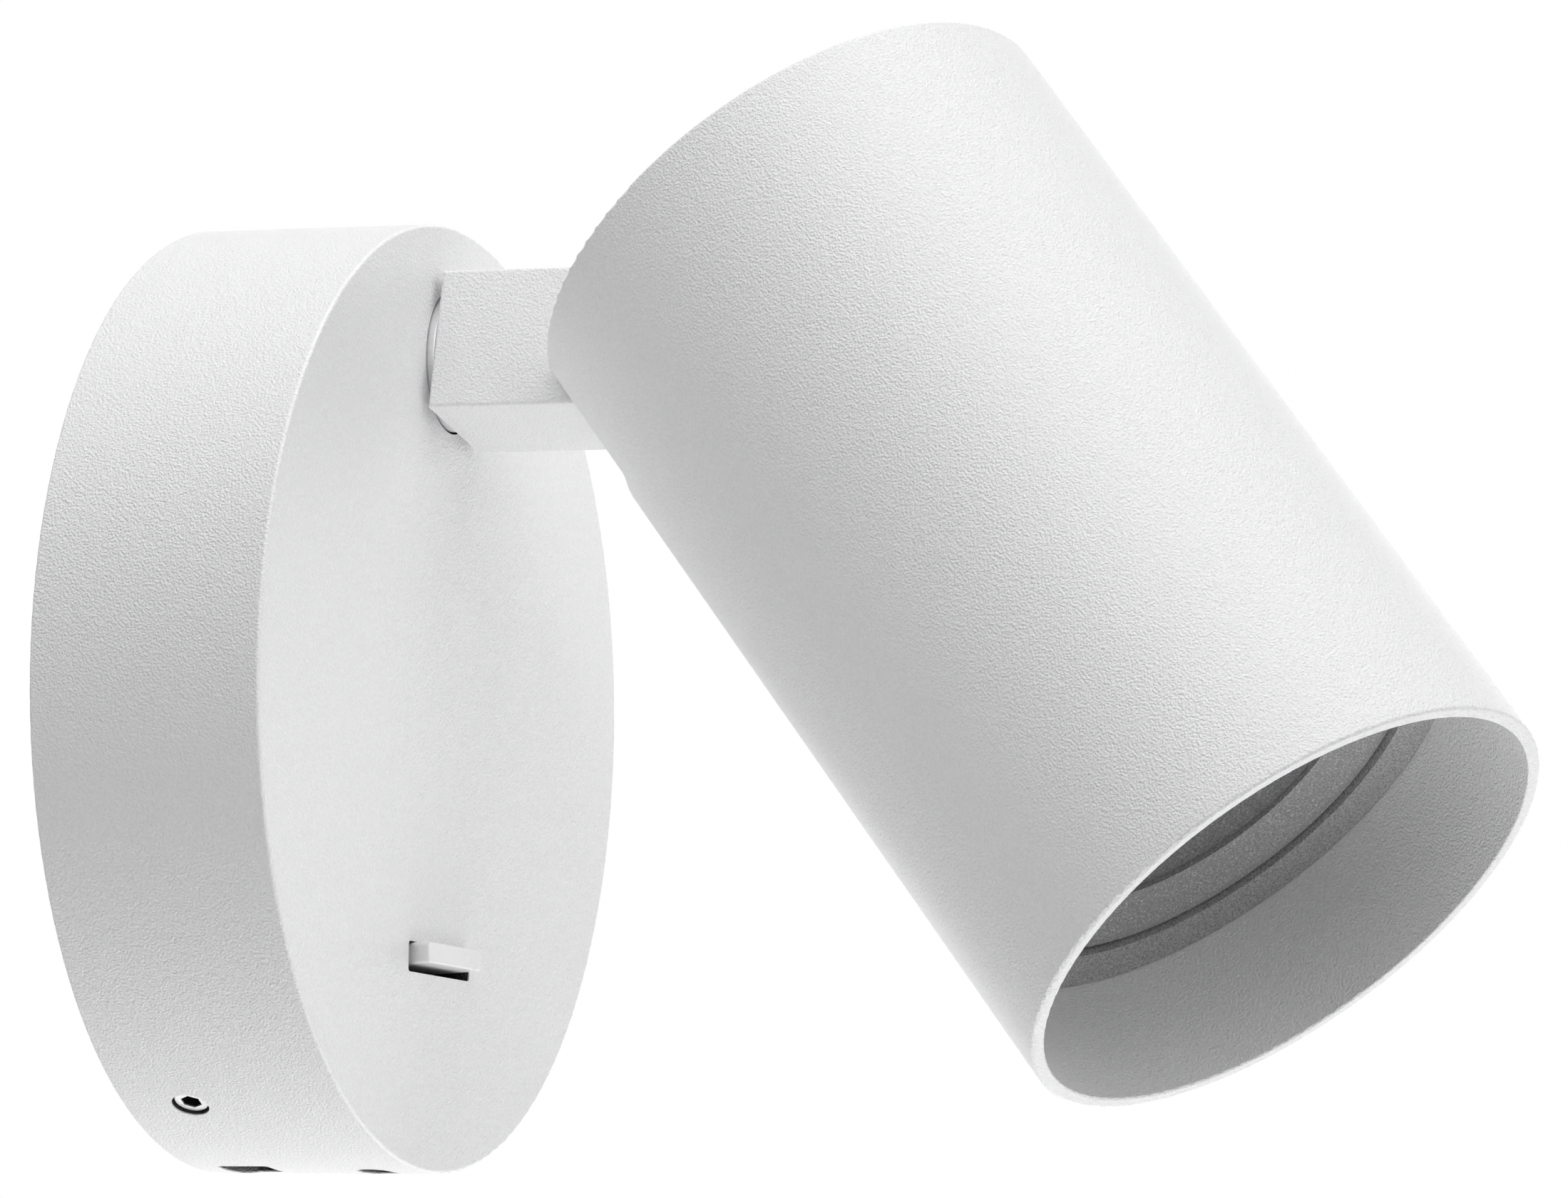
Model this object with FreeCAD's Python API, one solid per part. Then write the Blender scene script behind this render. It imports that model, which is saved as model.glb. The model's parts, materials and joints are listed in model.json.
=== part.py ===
"""Pivoting spotlight wall light: a round wall base, a turning square arm and a tilting tube.

Everything that stays on the wall is drawn in the wall frame: x to the viewer's right, y up, z out
of the wall, with the origin at the centre of the base's back. The arm is drawn in its own frame,
on the swivel's axis with the arm straight out and its tilt axis level. The head is drawn with the
pivot at the origin, z along the tube to its mouth, x to its wall side and y along the pivot.
Each finished piece is then placed, and at the end the wall frame is stood up: +Z up, room at -Y.
All sizes are in millimetres and all angles in degrees.
"""
import FreeCAD, Part
import math
import os
from FreeCAD import Placement, Rotation, Vector

os.makedirs("parts", exist_ok=True)

# ---------------------------------------------------------------- driving sizes
# pose in which the light is drawn
swivel_rest = 12.2            # arm turned clockwise, seen from the room
tilt_rest = 51.43             # tube away from the arm's own direction
rocker_rest = 3.6             # rocker pushed up

# wall base
base_dia = 100.0
base_depth = 25.3
cover_wall = 2.0
cover_face = 1.9
cover_edge_r = 0.4            # rounded front edge
cover_rim_r = 0.3             # rounded edge at the wall
boss_r = 3.2                  # screw bosses cast behind the face
boss_skin = 1.1               # face left in front of a boss's blind hole
tip_gap = 0.3                 # screw's tip from the bottom of its blind hole

# sheet metal behind the cover
sheet = 1.5
bend_r = 1.0                  # inside radius of every fold
fold_land = 2.0               # flat sheet between a fold and its root
bracket_gap = 3.0             # bracket's edge from the inside of the cover
relief = 1.5                  # cut beside a folded tab
wall_slot_pitch = 60.0
wall_slot_len = 8.0
wall_slot_w = 4.5

# hook that holds the cover at the top
hook_w = 14.0
hook_drop = 2.5               # tongue's outer face from the inside of the cover
hook_depth = 8.5              # tongue's reach from the wall
hook_lip = 1.8                # lip that stands up behind the cover's lug
lug_w = 10.0
lug_gap = 0.2                 # lug from the lip
lug_over = 0.5                # lug from the tongue
lug_thick = 1.8

# the two grub screws
grub_angle = 28.0             # from the bottom of the base, both ways
grub_depth = 7.5              # from the wall
grub_r = 1.95
grub_edge_r = 0.2
grub_hex = 2.0
grub_hex_deep = 2.2
grub_recess = 0.45
grub_tab_w = 12.0
grub_tab_in = 4.5             # tab's outer face from the inside of the cover
grub_tab_past = 4.0           # tab's end past the screw
grub_tab_hole_r = 1.6
grub_boss_r = 4.2
grub_boss_gap = 1.1           # boss from the tab
thread_gap = 0.05             # screw in its tapped hole

# arm
arm_side = 15.2
arm_edge_r = 0.35
arm_off_face = 0.9            # arm's near end from the cover
pivot_off_face = 32.28        # tilt pivot from the cover
arm_socket_deep = 9.0         # the stem's upper end in the arm
arm_fork_w = 5.2              # slot for the wires round the pivot bolt
arm_fork_back = 6.0           # slot's start before the pivot
arm_fork_top = 3.5            # metal left above the slot starts here

# swivel
swivel_from_wall = 12.25      # axis from the inside of the cover's wall
swivel_disc_inset = 0.2       # disc's edge inside the arm's side
swivel_disc_gap = 0.25        # disc in the cover's hole
swivel_pad_wall = 3.6
swivel_pad_h = 3.0            # pad and bosses behind the face
swivel_plate_t = 2.0
swivel_plate_w = 34.0
swivel_plate_h = 20.0
swivel_plate_edge = 2.2       # plate left below the stop peg
swivel_plate_corner = 4.0
swivel_screw_x = 13.0
swivel_screw_drop = 8.0       # screws below the axis
spigot_r = 5.0
wire_bore_r = 3.0
spigot_past_nut = 3.1
run_gap = 0.05                # running fits, radial
slide_gap = 0.1               # between flat faces that slide
washer_t = 1.0
stop_washer_wall = 3.5
stop_tab_past = 1.0           # tab's reach past the peg's axis
stop_tab_w = 1.6
stop_peg_r = 0.8
stop_peg_gap = 0.5            # peg from the washers' edges
swivel_nut_af = 14.0
swivel_nut_t = 3.0

# rocker switch
switch_from_edge = 22.3       # slot's middle from the edge of the base
switch_slot_w = 17.0
switch_slot_r = 0.35
paddle_side_gap = 1.1
paddle_gap = 0.0866           # paddle from the slot's edge at either end of its travel
paddle_t = 2.24
paddle_proud = 1.8
paddle_r = 0.5
paddle_lip_r = 0.2
rocker_pin_back = 6.3         # rocker's hinge behind the face
rocker_pin_r = 1.0
rocker_pin_reach = 1.4
rocker_hub_r = 2.0
rocker_nose_t = 1.0
rocker_nose_gap = 1.3         # nose from the bottom of the housing's pocket
housing_wall = 2.0
housing_lid = 1.3
housing_slack = 0.9           # pocket above and below the rocker's hub
housing_pocket_deep = 8.9
housing_r = 0.8
switch_ear_out = 3.4          # screws from the housing's side
switch_ear_w = 3.2            # half width
switch_ear_back = 2.8         # ears behind the inside of the face
ear_t = 2.0                   # moulded ears of the housing, the module and the supply

# charging module on the underside
module_w = 24.0
module_gap = 1.0              # case's lower corners from the inside of the cover
module_wall_gap = 0.8         # case from the bracket
module_face_gap = 0.5         # case from the inside of the face
module_end_wall = 0.4         # case past the wide socket's end
module_edge_r = 0.8
module_ear_out = 3.5          # screws from the case's side
module_ear_drop = 2.5         # screws below the case's top
module_ear_back = 6.8         # ears behind the inside of the face
usb_a_out = 6.0               # middle of the wide socket, from the wall
usb_a_w = 13.1
usb_a_h = 5.7
usb_a_r = 0.6
usb_a_len = 14.0
usb_a_tongue_w = 11.1
usb_a_tongue_t = 1.84
usb_a_tongue_back = 1.1       # tongue's tip behind the mouth
usb_a_tongue_off = 1.2        # tongue nearer the wall than the shell's middle
usb_c_back = 5.7              # middle of the oblong socket, behind the face
usb_c_w = 8.94
usb_c_h = 3.26
usb_c_len = 7.3
usb_c_tongue_w = 6.7
usb_c_tongue_t = 0.7
usb_c_tongue_back = 0.6
socket_wall = 0.3
socket_inset = 0.15           # mouths behind the inside of the cover's wall
hole_slack_a = 0.05           # cover's hole round the wide socket
hole_slack_c = 0.17           # cover's hole round the oblong socket
fit_gap = 0.1                 # pieces of one body that slip together

# electrical pieces on the wall bracket
supply_w = 42.0
supply_h = 18.0
supply_gap = 0.5              # supply behind the switch housing
supply_edge_r = 1.5
supply_ear_out = 3.0          # screws from the supply's side
supply_ear_half = 3.5
row_gap = 0.2                 # grommet's flange from its neighbours
terminal_h = 10.0
terminal_t = 10.5
terminal_gap = 3.65           # terminal block below the swivel nut
terminal_poles = 3
terminal_pitch = 7.0
terminal_end = 1.5
terminal_edge = 0.8
terminal_screw_r = 1.9
terminal_screw_deep = 5.0
terminal_screw_sink = 1.5
terminal_slot_w = 0.6
terminal_slot_deep = 0.7
terminal_wire_r = 1.6
terminal_wire_up = 3.2        # wire holes above the bracket
cable_hole_r = 6.5
grommet_bore_r = 4.5
grommet_flange = 1.8
grommet_t = 3.2
grommet_edge_r = 0.6
earth_out = 8.0               # earth screw from the terminal block's end
earth_drop = 2.0              # and below its middle
earth_r = 2.0
earth_head_r = 3.9
earth_head_h = 2.4
earth_washer_r = 4.6
earth_washer_t = 1.0

# small screws (M3) for all the fixings
screw_r = 1.45
screw_head_r = 2.75
screw_head_h = 1.9
screw_crown_r = 0.7
holder_screw_len = 6.0

# lamp and its holder
lamp_r = 25.0
lamp_recess = 16.5            # lamp's rim behind the tube's end
lamp_rim_w = 1.6
lamp_cone_w = 4.1
lamp_cone_deep = 1.8
lamp_base_in = 1.0            # lamp's base inside the holder's edge
lamp_base_flare = 0.8
lamp_base_h = 9.0
lamp_base_r = 6.0
lamp_brow_h = 9.0             # upright band under the lamp's rim
lamp_brow_in = 0.9
lamp_brow_r = 10.0
lens_t = 2.0
lens_crown = 0.5
holder_r = 13.5
holder_t = 15.6
holder_flange_t = 2.5
holder_flange_w = 14.0
holder_screw_out = 14.0
holder_ear_r = 4.2             # flange past its screws
holder_edge_r = 1.0
pin_pitch = 10.0
pin_hole_r = 2.7
pin_hole_past = 1.0           # holes deeper than the pins
pin_r = 1.2
pin_head_r = 2.4
pin_head_t = 1.6
pin_len = 7.2
ring_recess = 14.8            # trim ring behind the tube's end
ring_gap = 0.3                # trim ring round the lamp
ring_slope = 1.2
ring_t = 1.2
ring_skirt = 7.5

# lamp tube
tube_wall = 1.45
tube_lamp_gap = 3.75          # inside of the tube from the lamp
tube_len = 96.3
tube_lip_r = 0.35             # outer edge of the mouth
tube_mouth_r = 0.2            # inner edge of the mouth
tube_back_r = 0.5
tube_slot_side = 1.15         # slot's edges from the arm
tube_slot_r = 0.8
pivot_in = 16.18              # pivot from the inside of the tube, on its wall side
knuckle_gap = 0.65            # arm's knuckle from the rear end and from the hinge plate
stop_gap = 0.15               # slot's end from the arm at the tilt's limits

# rear cap
cap_t = 2.0
cap_set_in = 0.5
cap_edge_r = 0.3
cap_skirt_t = 1.4
cap_skirt_len = 10.0
cap_post_r = 3.0
cap_post_angle = 65.0         # two posts either side of the slot, the third opposite
cap_screw_up = 1.5            # screws' tips above the cap

# hinge
hinge_plate_gap = 2.75        # plate's edge from the cap's skirt
ear_gap = 0.2                 # ears' ends from the cap
pivot_bolt_r = 2.5
pivot_head_r = 4.75
pivot_head_h = 2.75
pivot_hex = 3.0
pivot_hex_deep = 1.6
pivot_tail = 0.6              # bolt's end past its nut
pivot_nut_af = 8.0
pivot_nut_t = 4.0
pivot_washer_t = 0.45
pivot_washer_r = 5.2

# ---------------------------------------------------------------- sizes that follow
# cover and bracket
cover_r = base_dia / 2
cover_in_r = cover_r - cover_wall
face_back = base_depth - cover_face
bracket_r = cover_in_r - bracket_gap
hook_top = cover_in_r - hook_drop
grub_tab_face = cover_in_r - grub_tab_in
# arm and swivel, from the middle of the base outwards
arm_half = arm_side / 2
arm_foot = base_depth + arm_off_face
pivot_out = base_depth + pivot_off_face
swivel_up = cover_in_r - swivel_from_wall
swivel_disc_r = arm_half - swivel_disc_inset
swivel_hole_r = swivel_disc_r + swivel_disc_gap
stop_washer_r = spigot_r + stop_washer_wall
stop_peg_out = stop_washer_r + stop_peg_gap + stop_peg_r
plate_front = face_back - swivel_pad_h
plate_back = plate_front - swivel_plate_t
friction_front = plate_back - slide_gap
stop_front = friction_front - washer_t - slide_gap
nut_front = stop_front - washer_t
nut_back = nut_front - swivel_nut_t
swivel_plate_low = stop_peg_out + swivel_plate_edge
# switch
switch_down = cover_r - switch_from_edge
rocker_pin_out = base_depth - rocker_pin_back
rocker_sway = rocker_pin_back * math.sin(math.radians(rocker_rest))
paddle_reach = rocker_sway + paddle_t / 2 * math.cos(math.radians(rocker_rest)) + paddle_gap
switch_slot_h = 2 * paddle_reach
paddle_w = switch_slot_w - 2 * paddle_side_gap
housing_half = switch_slot_w / 2 + housing_wall
housing_pocket_h = 2 * (rocker_hub_r + housing_slack)
housing_h = housing_pocket_h + 2 * housing_lid
housing_pocket_end = face_back - housing_pocket_deep
housing_back = housing_pocket_end - housing_wall
switch_ear_x = housing_half + switch_ear_out
switch_ear_seat = face_back - switch_ear_back
# charging module
usb_c_out = base_depth - usb_c_back
usb_c_r = usb_c_h / 2 - 0.01
module_low = math.sqrt(cover_in_r ** 2 - (module_w / 2) ** 2) - module_gap
usb_a_mouth = math.sqrt(cover_in_r ** 2 - (usb_a_w / 2) ** 2) - socket_inset
usb_c_mouth = math.sqrt(cover_in_r ** 2 - (usb_c_w / 2) ** 2) - socket_inset
module_high = usb_a_mouth - usb_a_len - module_end_wall
module_back = sheet + module_wall_gap
module_front = face_back - module_face_gap
module_ear_x = module_w / 2 + module_ear_out
module_ear_down = module_high + module_ear_drop
module_ear_seat = face_back - module_ear_back
# row of electrical pieces, from the swivel downwards
terminal_w = terminal_poles * terminal_pitch + 2 * terminal_end
terminal_top = swivel_up - swivel_nut_af / math.sqrt(3) - terminal_gap
terminal_up = terminal_top - terminal_h / 2
grommet_flange_r = cable_hole_r + grommet_flange
cable_up = terminal_top - terminal_h - row_gap - grommet_flange_r
supply_down = grommet_flange_r + row_gap + supply_h / 2 - cable_up
supply_t = housing_back - supply_gap - sheet
supply_ear_x = supply_w / 2 + supply_ear_out
earth_x = -terminal_w / 2 - earth_out
earth_up = terminal_up - earth_drop
# tube, cap and hinge, with the pivot as origin
tube_in_r = lamp_r + tube_lamp_gap
tube_r = tube_in_r + tube_wall
tube_axis = pivot_in - tube_in_r
tube_slot_w = arm_side + 2 * tube_slot_side
tube_back = -arm_half - knuckle_gap
tube_mouth = tube_back + tube_len
slot_end = arm_half + stop_gap
cap_rim_r = tube_in_r - fit_gap
cap_inner_r = cap_rim_r - cap_skirt_t
cap_back = tube_back + cap_set_in
cap_front = cap_back + cap_t
hinge_plate_up = arm_half + knuckle_gap
hinge_front = hinge_plate_up + sheet
hinge_plate_r = cap_inner_r - hinge_plate_gap
cap_post_out = hinge_plate_r - cap_post_r
ear_half = -cap_front - ear_gap
ear_in = arm_half + slide_gap + pivot_washer_t
ear_out = ear_in + sheet
# lamp
holder_front = hinge_front + holder_t
lamp_rim = tube_mouth - lamp_recess
lamp_cone_r = lamp_r - lamp_rim_w - lamp_cone_w
lens_seat = lamp_rim - lamp_cone_deep - lens_t
ring_inner_r = lamp_r + ring_gap
ring_top = tube_mouth - ring_recess

# ---------------------------------------------------------------- frames
stand_up = Placement(Vector(0, 0, 0), Rotation(Vector(1, 0, 0), 90))
arm_frame = Placement(Vector(0, swivel_up, 0), Rotation(Vector(0, 0, 1), -swivel_rest))
head_turn = Rotation(Vector(1, 0, 0), tilt_rest) * Rotation(Vector(0, 0, 1), -90)
head_frame = arm_frame * Placement(Vector(0, 0, pivot_out), head_turn)
rocker_frame = Placement(Vector(0, -switch_down, rocker_pin_out), Rotation(Vector(1, 0, 0), -rocker_rest))


def save(name, solids, frame=Placement()):
    """Place the solids of one piece, or of one group of like pieces, and write them."""
    solids = solids if isinstance(solids, list) else [solids]
    placed = [s.transformed((stand_up * frame).toMatrix(), True) for s in solids]
    shape = placed[0] if len(placed) == 1 else Part.makeCompound(placed)
    shape.exportStep("parts/" + name + ".step")
    print("%-24s %2d solid  %9.1f mm3  valid %s" % (name, len(shape.Solids), shape.Volume, shape.isValid()))


# ---------------------------------------------------------------- plain forms
def outline(corners):
    """Closed flat wire through (a, b) or (a, b, radius) corners; a radius rounds that corner."""
    edges = []
    ends = []
    count = len(corners)
    for i, corner in enumerate(corners):
        here = Vector(corner[0], corner[1], 0)
        radius = corner[2] if len(corner) > 2 else 0
        back = Vector(*corners[i - 1][:2], 0).sub(here).normalize()
        on = Vector(*corners[(i + 1) % count][:2], 0).sub(here).normalize()
        if radius == 0:
            ends.append((here, here))
            continue
        half = back.getAngle(on) / 2
        run = radius / math.tan(half)
        middle = here + (back + on).normalize() * (radius / math.sin(half) - radius)
        start = here + back * run
        end = here + on * run
        edges.append(Part.Arc(start, middle, end).toShape())
        ends.append((start, end))
    for i in range(count):
        start = ends[i][1]
        end = ends[(i + 1) % count][0]
        if start.distanceToPoint(end) > 1e-7:
            edges.append(Part.LineSegment(start, end).toShape())
    return Part.Wire(Part.__sortEdges__(edges))


def turned(corners, x=0, y=0):
    """Solid turned about a z axis through (x, y), from (radius, height) corners."""
    face = Part.Face(outline(corners))
    face.rotate(Vector(0, 0, 0), Vector(1, 0, 0), 90)
    solid = face.revolve(Vector(0, 0, 0), Vector(0, 0, 1), 360)
    solid.translate(Vector(x, y, 0))
    return solid if solid.Volume > 0 else solid.reversed()


def plate(corners, low, high):
    """Solid with the flat outline of the corners in x and y, from low to high in z."""
    solid = Part.Face(outline(corners)).extrude(Vector(0, 0, high - low))
    solid.translate(Vector(0, 0, low))
    return solid


def slab(x0, x1, y0, y1, z0, z1):
    return Part.makeBox(x1 - x0, y1 - y0, z1 - z0, Vector(x0, y0, z0))


def rod(radius, z0, z1, x=0, y=0):
    return Part.makeCylinder(radius, z1 - z0, Vector(x, y, z0))


def cross_rod(radius, x0, x1, y=0, z=0):
    return Part.makeCylinder(radius, x1 - x0, Vector(x0, y, z), Vector(1, 0, 0))


def rounded_box(width, height, radius):
    """Corners of a rectangle round the origin."""
    w = width / 2
    h = height / 2
    return [(-w, -h, radius), (w, -h, radius), (w, h, radius), (-w, h, radius)]


def hexagon(across_flats, z0, z1):
    reach = across_flats / math.sqrt(3)
    turns = [math.radians(60 * i) for i in range(6)]
    points = [(reach * math.cos(turn), reach * math.sin(turn)) for turn in turns]
    return plate(points, z0, z1)


def swung(solid, angle):
    """Copy turned about the base's own axis, so that a piece drawn at the bottom lies round the side."""
    copy = solid.copy()
    copy.rotate(Vector(0, 0, 0), Vector(0, 0, 1), angle)
    return copy


def folded_tab(width, root, face, height, lip=0):
    """Sheet that leaves the bracket at y = -root, folds forward at y = -face and may end in a lip."""
    corners = [(-root, 0), (-face, 0, sheet + bend_r)]
    if lip:
        corners += [(-face, height - sheet), (-face - lip, height - sheet), (-face - lip, height)]
        corners += [(-face + sheet, height)]
    else:
        corners += [(-face, height), (-face + sheet, height)]
    corners += [(-face + sheet, sheet, bend_r), (-root, sheet)]
    tab = Part.Face(outline(corners)).extrude(Vector(0, 0, width))
    # the outline lies in x and y: turn it so that its first axis is y and its second is z
    tab.transformShape(FreeCAD.Matrix(0, 0, 1, -width / 2, 1, 0, 0, 0, 0, 1, 0, 0, 0, 0, 0, 1), True)
    return tab


def pan_screw(x, y, seat, tip):
    """Screw that points to the room, with its head on the wall side of the seat."""
    head = turned([(0, seat), (screw_head_r, seat), (screw_head_r, seat - screw_head_h, screw_crown_r),
                   (0, seat - screw_head_h)], x, y)
    return head.fuse(rod(screw_r, seat, tip, x, y)).removeSplitter()


def boss(x, y, seat):
    return rod(boss_r, seat, face_back + cover_face / 2, x, y)


def boss_hole(x, y, seat):
    return rod(screw_r + thread_gap, seat, base_depth - boss_skin, x, y)


def screw_tip():
    """Tip of a screw that stops just short of the bottom of its blind hole."""
    return base_depth - boss_skin - tip_gap


# ---------------------------------------------------------------- where the cover is drilled
swivel_screws = [(side * swivel_screw_x, swivel_up - swivel_screw_drop) for side in (-1, 1)]
switch_screws = [(side * switch_ear_x, -switch_down) for side in (-1, 1)]
module_screws = [(side * module_ear_x, -module_ear_down) for side in (-1, 1)]
fixings = [(swivel_screws, plate_front), (switch_screws, switch_ear_seat), (module_screws, module_ear_seat)]


# ---------------------------------------------------------------- base
def underside_hole(width, height, radius, out):
    """Cutter for a socket's mouth, through the bottom of the cover's wall."""
    hole = plate(rounded_box(width, height, radius), 0, cover_r / 2)
    hole.rotate(Vector(0, 0, 0), Vector(1, 0, 0), 90)
    hole.translate(Vector(0, -cover_r / 2 - cover_wall, out))
    return hole


def base_cover():
    cup = turned([(0, face_back), (cover_in_r, face_back, cover_rim_r), (cover_in_r, 0),
                  (cover_r, 0, cover_rim_r), (cover_r, base_depth, cover_edge_r), (0, base_depth)])
    inside = rod(cover_r - cover_wall / 2, 0, base_depth)
    added = [rod(swivel_hole_r + swivel_pad_wall, plate_front, face_back, 0, swivel_up)]
    for places, seat in fixings:
        added += [boss(x, y, seat) for x, y in places]
    lug_low = hook_depth - sheet - lug_gap - lug_thick
    added.append(slab(-lug_w / 2, lug_w / 2, hook_top + lug_over, cover_r, lug_low, lug_low + lug_thick))
    for angle in (-grub_angle, grub_angle):
        pad_long = cover_r - grub_tab_face - grub_boss_gap
        pad = Part.makeCylinder(grub_boss_r, pad_long, Vector(0, -cover_r, grub_depth), Vector(0, 1, 0))
        added.append(swung(pad, angle))
    cup = cup.fuse([piece.common(inside) for piece in added])
    cuts = [rod(swivel_hole_r, 0, base_depth, 0, swivel_up)]
    slot = plate(rounded_box(switch_slot_w, switch_slot_h, switch_slot_r), 0, base_depth)
    slot.translate(Vector(0, -switch_down, 0))
    cuts.append(slot)
    for places, seat in fixings:
        cuts += [boss_hole(x, y, seat) for x, y in places]
    cuts.append(underside_hole(usb_a_w - 2 * socket_wall, usb_a_h + 2 * hole_slack_a, usb_a_r, usb_a_out))
    cuts.append(underside_hole(usb_c_w, usb_c_h + 2 * hole_slack_c, usb_c_r + hole_slack_c, usb_c_out))
    for angle in (-grub_angle, grub_angle):
        hole = Part.makeCylinder(grub_r + thread_gap, base_dia / 4, Vector(0, -cover_r - 1, grub_depth),
                                 Vector(0, 1, 0))
        cuts.append(swung(hole, angle))
    return cup.cut(cuts).removeSplitter()


def wall_bracket():
    disc = rod(bracket_r, 0, sheet)
    root = grub_tab_face - sheet - bend_r - fold_land
    cuts = []
    tabs = []
    for angle in (-grub_angle, grub_angle):
        half = grub_tab_w / 2 + relief
        cuts.append(swung(slab(-half, half, -cover_r, -root, 0, sheet), angle))
        tab = folded_tab(grub_tab_w, root, grub_tab_face, grub_depth + grub_tab_past)
        hole = Part.makeCylinder(grub_tab_hole_r, cover_r, Vector(0, -cover_r, grub_depth),
                                 Vector(0, 1, 0))
        tabs.append(swung(tab.cut(hole), angle))
    half = hook_w / 2 + relief
    hook_root = hook_top - sheet - bend_r - fold_land
    cuts.append(slab(-half, half, hook_root, cover_r, 0, sheet))
    tabs.append(swung(folded_tab(hook_w, hook_root, hook_top, hook_depth, hook_lip), 180))
    for side in (-1, 1):
        slot = plate(rounded_box(wall_slot_len, wall_slot_w, wall_slot_w / 2 - 0.005), 0, sheet)
        slot.translate(Vector(side * wall_slot_pitch / 2, 0, 0))
        cuts.append(slot)
        cuts.append(rod(screw_r + thread_gap, 0, sheet, side * supply_ear_x, -supply_down))
    cuts.append(rod(cable_hole_r, 0, sheet, 0, cable_up))
    cuts.append(rod(earth_r + thread_gap, 0, sheet, earth_x, earth_up))
    return disc.cut(cuts).fuse(tabs).removeSplitter()


def grub_screws():
    """Two hex grub screws with cone points that reach into the bracket's tabs."""
    head = cover_r - grub_recess
    cone = grub_r - (grub_tab_hole_r - thread_gap)
    solids = []
    for angle in (-grub_angle, grub_angle):
        body = turned([(0, grub_tab_face - cone), (grub_tab_hole_r - thread_gap - cone, grub_tab_face - cone),
                       (grub_tab_hole_r - thread_gap, grub_tab_face), (grub_r, grub_tab_face + cone),
                       (grub_r, head, grub_edge_r), (0, head)])
        body = body.cut(hexagon(grub_hex, head - grub_hex_deep, head + 1))
        body.rotate(Vector(0, 0, 0), Vector(1, 0, 0), 90)
        body.translate(Vector(0, 0, grub_depth))
        solids.append(swung(body, angle))
    return solids


def swivel_plate():
    shape = plate(rounded_box(swivel_plate_w, swivel_plate_h, swivel_plate_corner), plate_back, plate_front)
    shape.translate(Vector(0, swivel_up - swivel_plate_low + swivel_plate_h / 2, 0))
    holes = [rod(spigot_r + run_gap, plate_back, plate_front, 0, swivel_up)]
    holes += [rod(screw_r + fit_gap, plate_back, plate_front, x, y) for x, y in swivel_screws]
    holes.append(rod(stop_peg_r, plate_back, plate_front, 0, swivel_up - stop_peg_out))
    return shape.cut(holes)


def swivel_stop_peg():
    """Pin pressed in the swivel plate, level with the far side of the tabbed washer."""
    reach = 2 * washer_t + 3 * slide_gap
    return turned([(0, plate_back - reach), (stop_peg_r, plate_back - reach, 0.2),
                   (stop_peg_r, plate_front), (0, plate_front)], 0, swivel_up - stop_peg_out)


def switch_housing():
    half = switch_slot_w / 2
    body = plate(rounded_box(2 * housing_half, housing_h, housing_r), housing_back, face_back)
    seat = switch_ear_seat
    reach = switch_ear_x + switch_ear_w
    ears = plate(rounded_box(2 * reach, 2 * switch_ear_w, switch_ear_w - 0.01), seat - ear_t, seat)
    pocket = slab(-half, half, -housing_pocket_h / 2, housing_pocket_h / 2, housing_pocket_end, face_back)
    bore = cross_rod(rocker_pin_r + run_gap, -housing_half, housing_half, 0, rocker_pin_out)
    holes = [rod(screw_r + fit_gap, 0, seat, side * switch_ear_x) for side in (-1, 1)]
    body = body.fuse(ears).cut([pocket, bore] + holes)
    body.translate(Vector(0, -switch_down, 0))
    return body


def switch_rocker():
    """Drawn on its hinge, with the paddle straight out."""
    tip = base_depth + paddle_proud - rocker_pin_out
    half = paddle_w / 2
    paddle = slab(-half, half, -paddle_t / 2, paddle_t / 2, 0, tip)
    corners = [e for e in paddle.Edges if e.BoundBox.ZLength > tip - 1e-6]
    paddle = paddle.makeFillet(paddle_r, corners)
    lips = [e for e in paddle.Edges if e.BoundBox.ZMin > tip - 1e-6]
    paddle = paddle.makeFillet(paddle_lip_r, lips)
    hub = cross_rod(rocker_hub_r, -half, half)
    pin_end = switch_slot_w / 2 + rocker_pin_reach
    pins = cross_rod(rocker_pin_r, -pin_end, pin_end)
    nose_end = housing_pocket_end + rocker_nose_gap - rocker_pin_out
    nose = slab(-half / 2, half / 2, -rocker_nose_t / 2, rocker_nose_t / 2, nose_end, 0)
    return paddle.fuse([hub, pins, nose]).removeSplitter()


def downwards(solid, mouth, out):
    """Turn a piece drawn from its mouth along z so that the mouth faces down, under the base."""
    solid.rotate(Vector(0, 0, 0), Vector(1, 0, 0), -90)
    solid.translate(Vector(0, -mouth, out))
    return solid


def socket_shell(width, height, radius, length, mouth, out):
    """Drawn steel shell of a socket, closed at its rear end."""
    hollow = plate(rounded_box(width - 2 * socket_wall, height - 2 * socket_wall, radius - socket_wall),
                   0, length - socket_wall)
    return downwards(plate(rounded_box(width, height, radius), 0, length).cut(hollow), mouth, out)


def socket_tongue(width, thick, back, length, mouth, out):
    """Insulating tongue inside a socket, from near its mouth to its rear wall."""
    return slab(-width / 2, width / 2, -mouth + back, -mouth + length - socket_wall,
                out - thick / 2, out + thick / 2)


usb_a_shape = (usb_a_w, usb_a_h, usb_a_r, usb_a_len, usb_a_mouth, usb_a_out)
usb_c_shape = (usb_c_w, usb_c_h, usb_c_r, usb_c_len, usb_c_mouth, usb_c_out)
usb_a_tongue_shape = (usb_a_tongue_w, usb_a_tongue_t, usb_a_tongue_back, usb_a_len, usb_a_mouth,
                      usb_a_out - usb_a_tongue_off)
usb_c_tongue_shape = (usb_c_tongue_w, usb_c_tongue_t, usb_c_tongue_back, usb_c_len, usb_c_mouth, usb_c_out)


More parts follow.
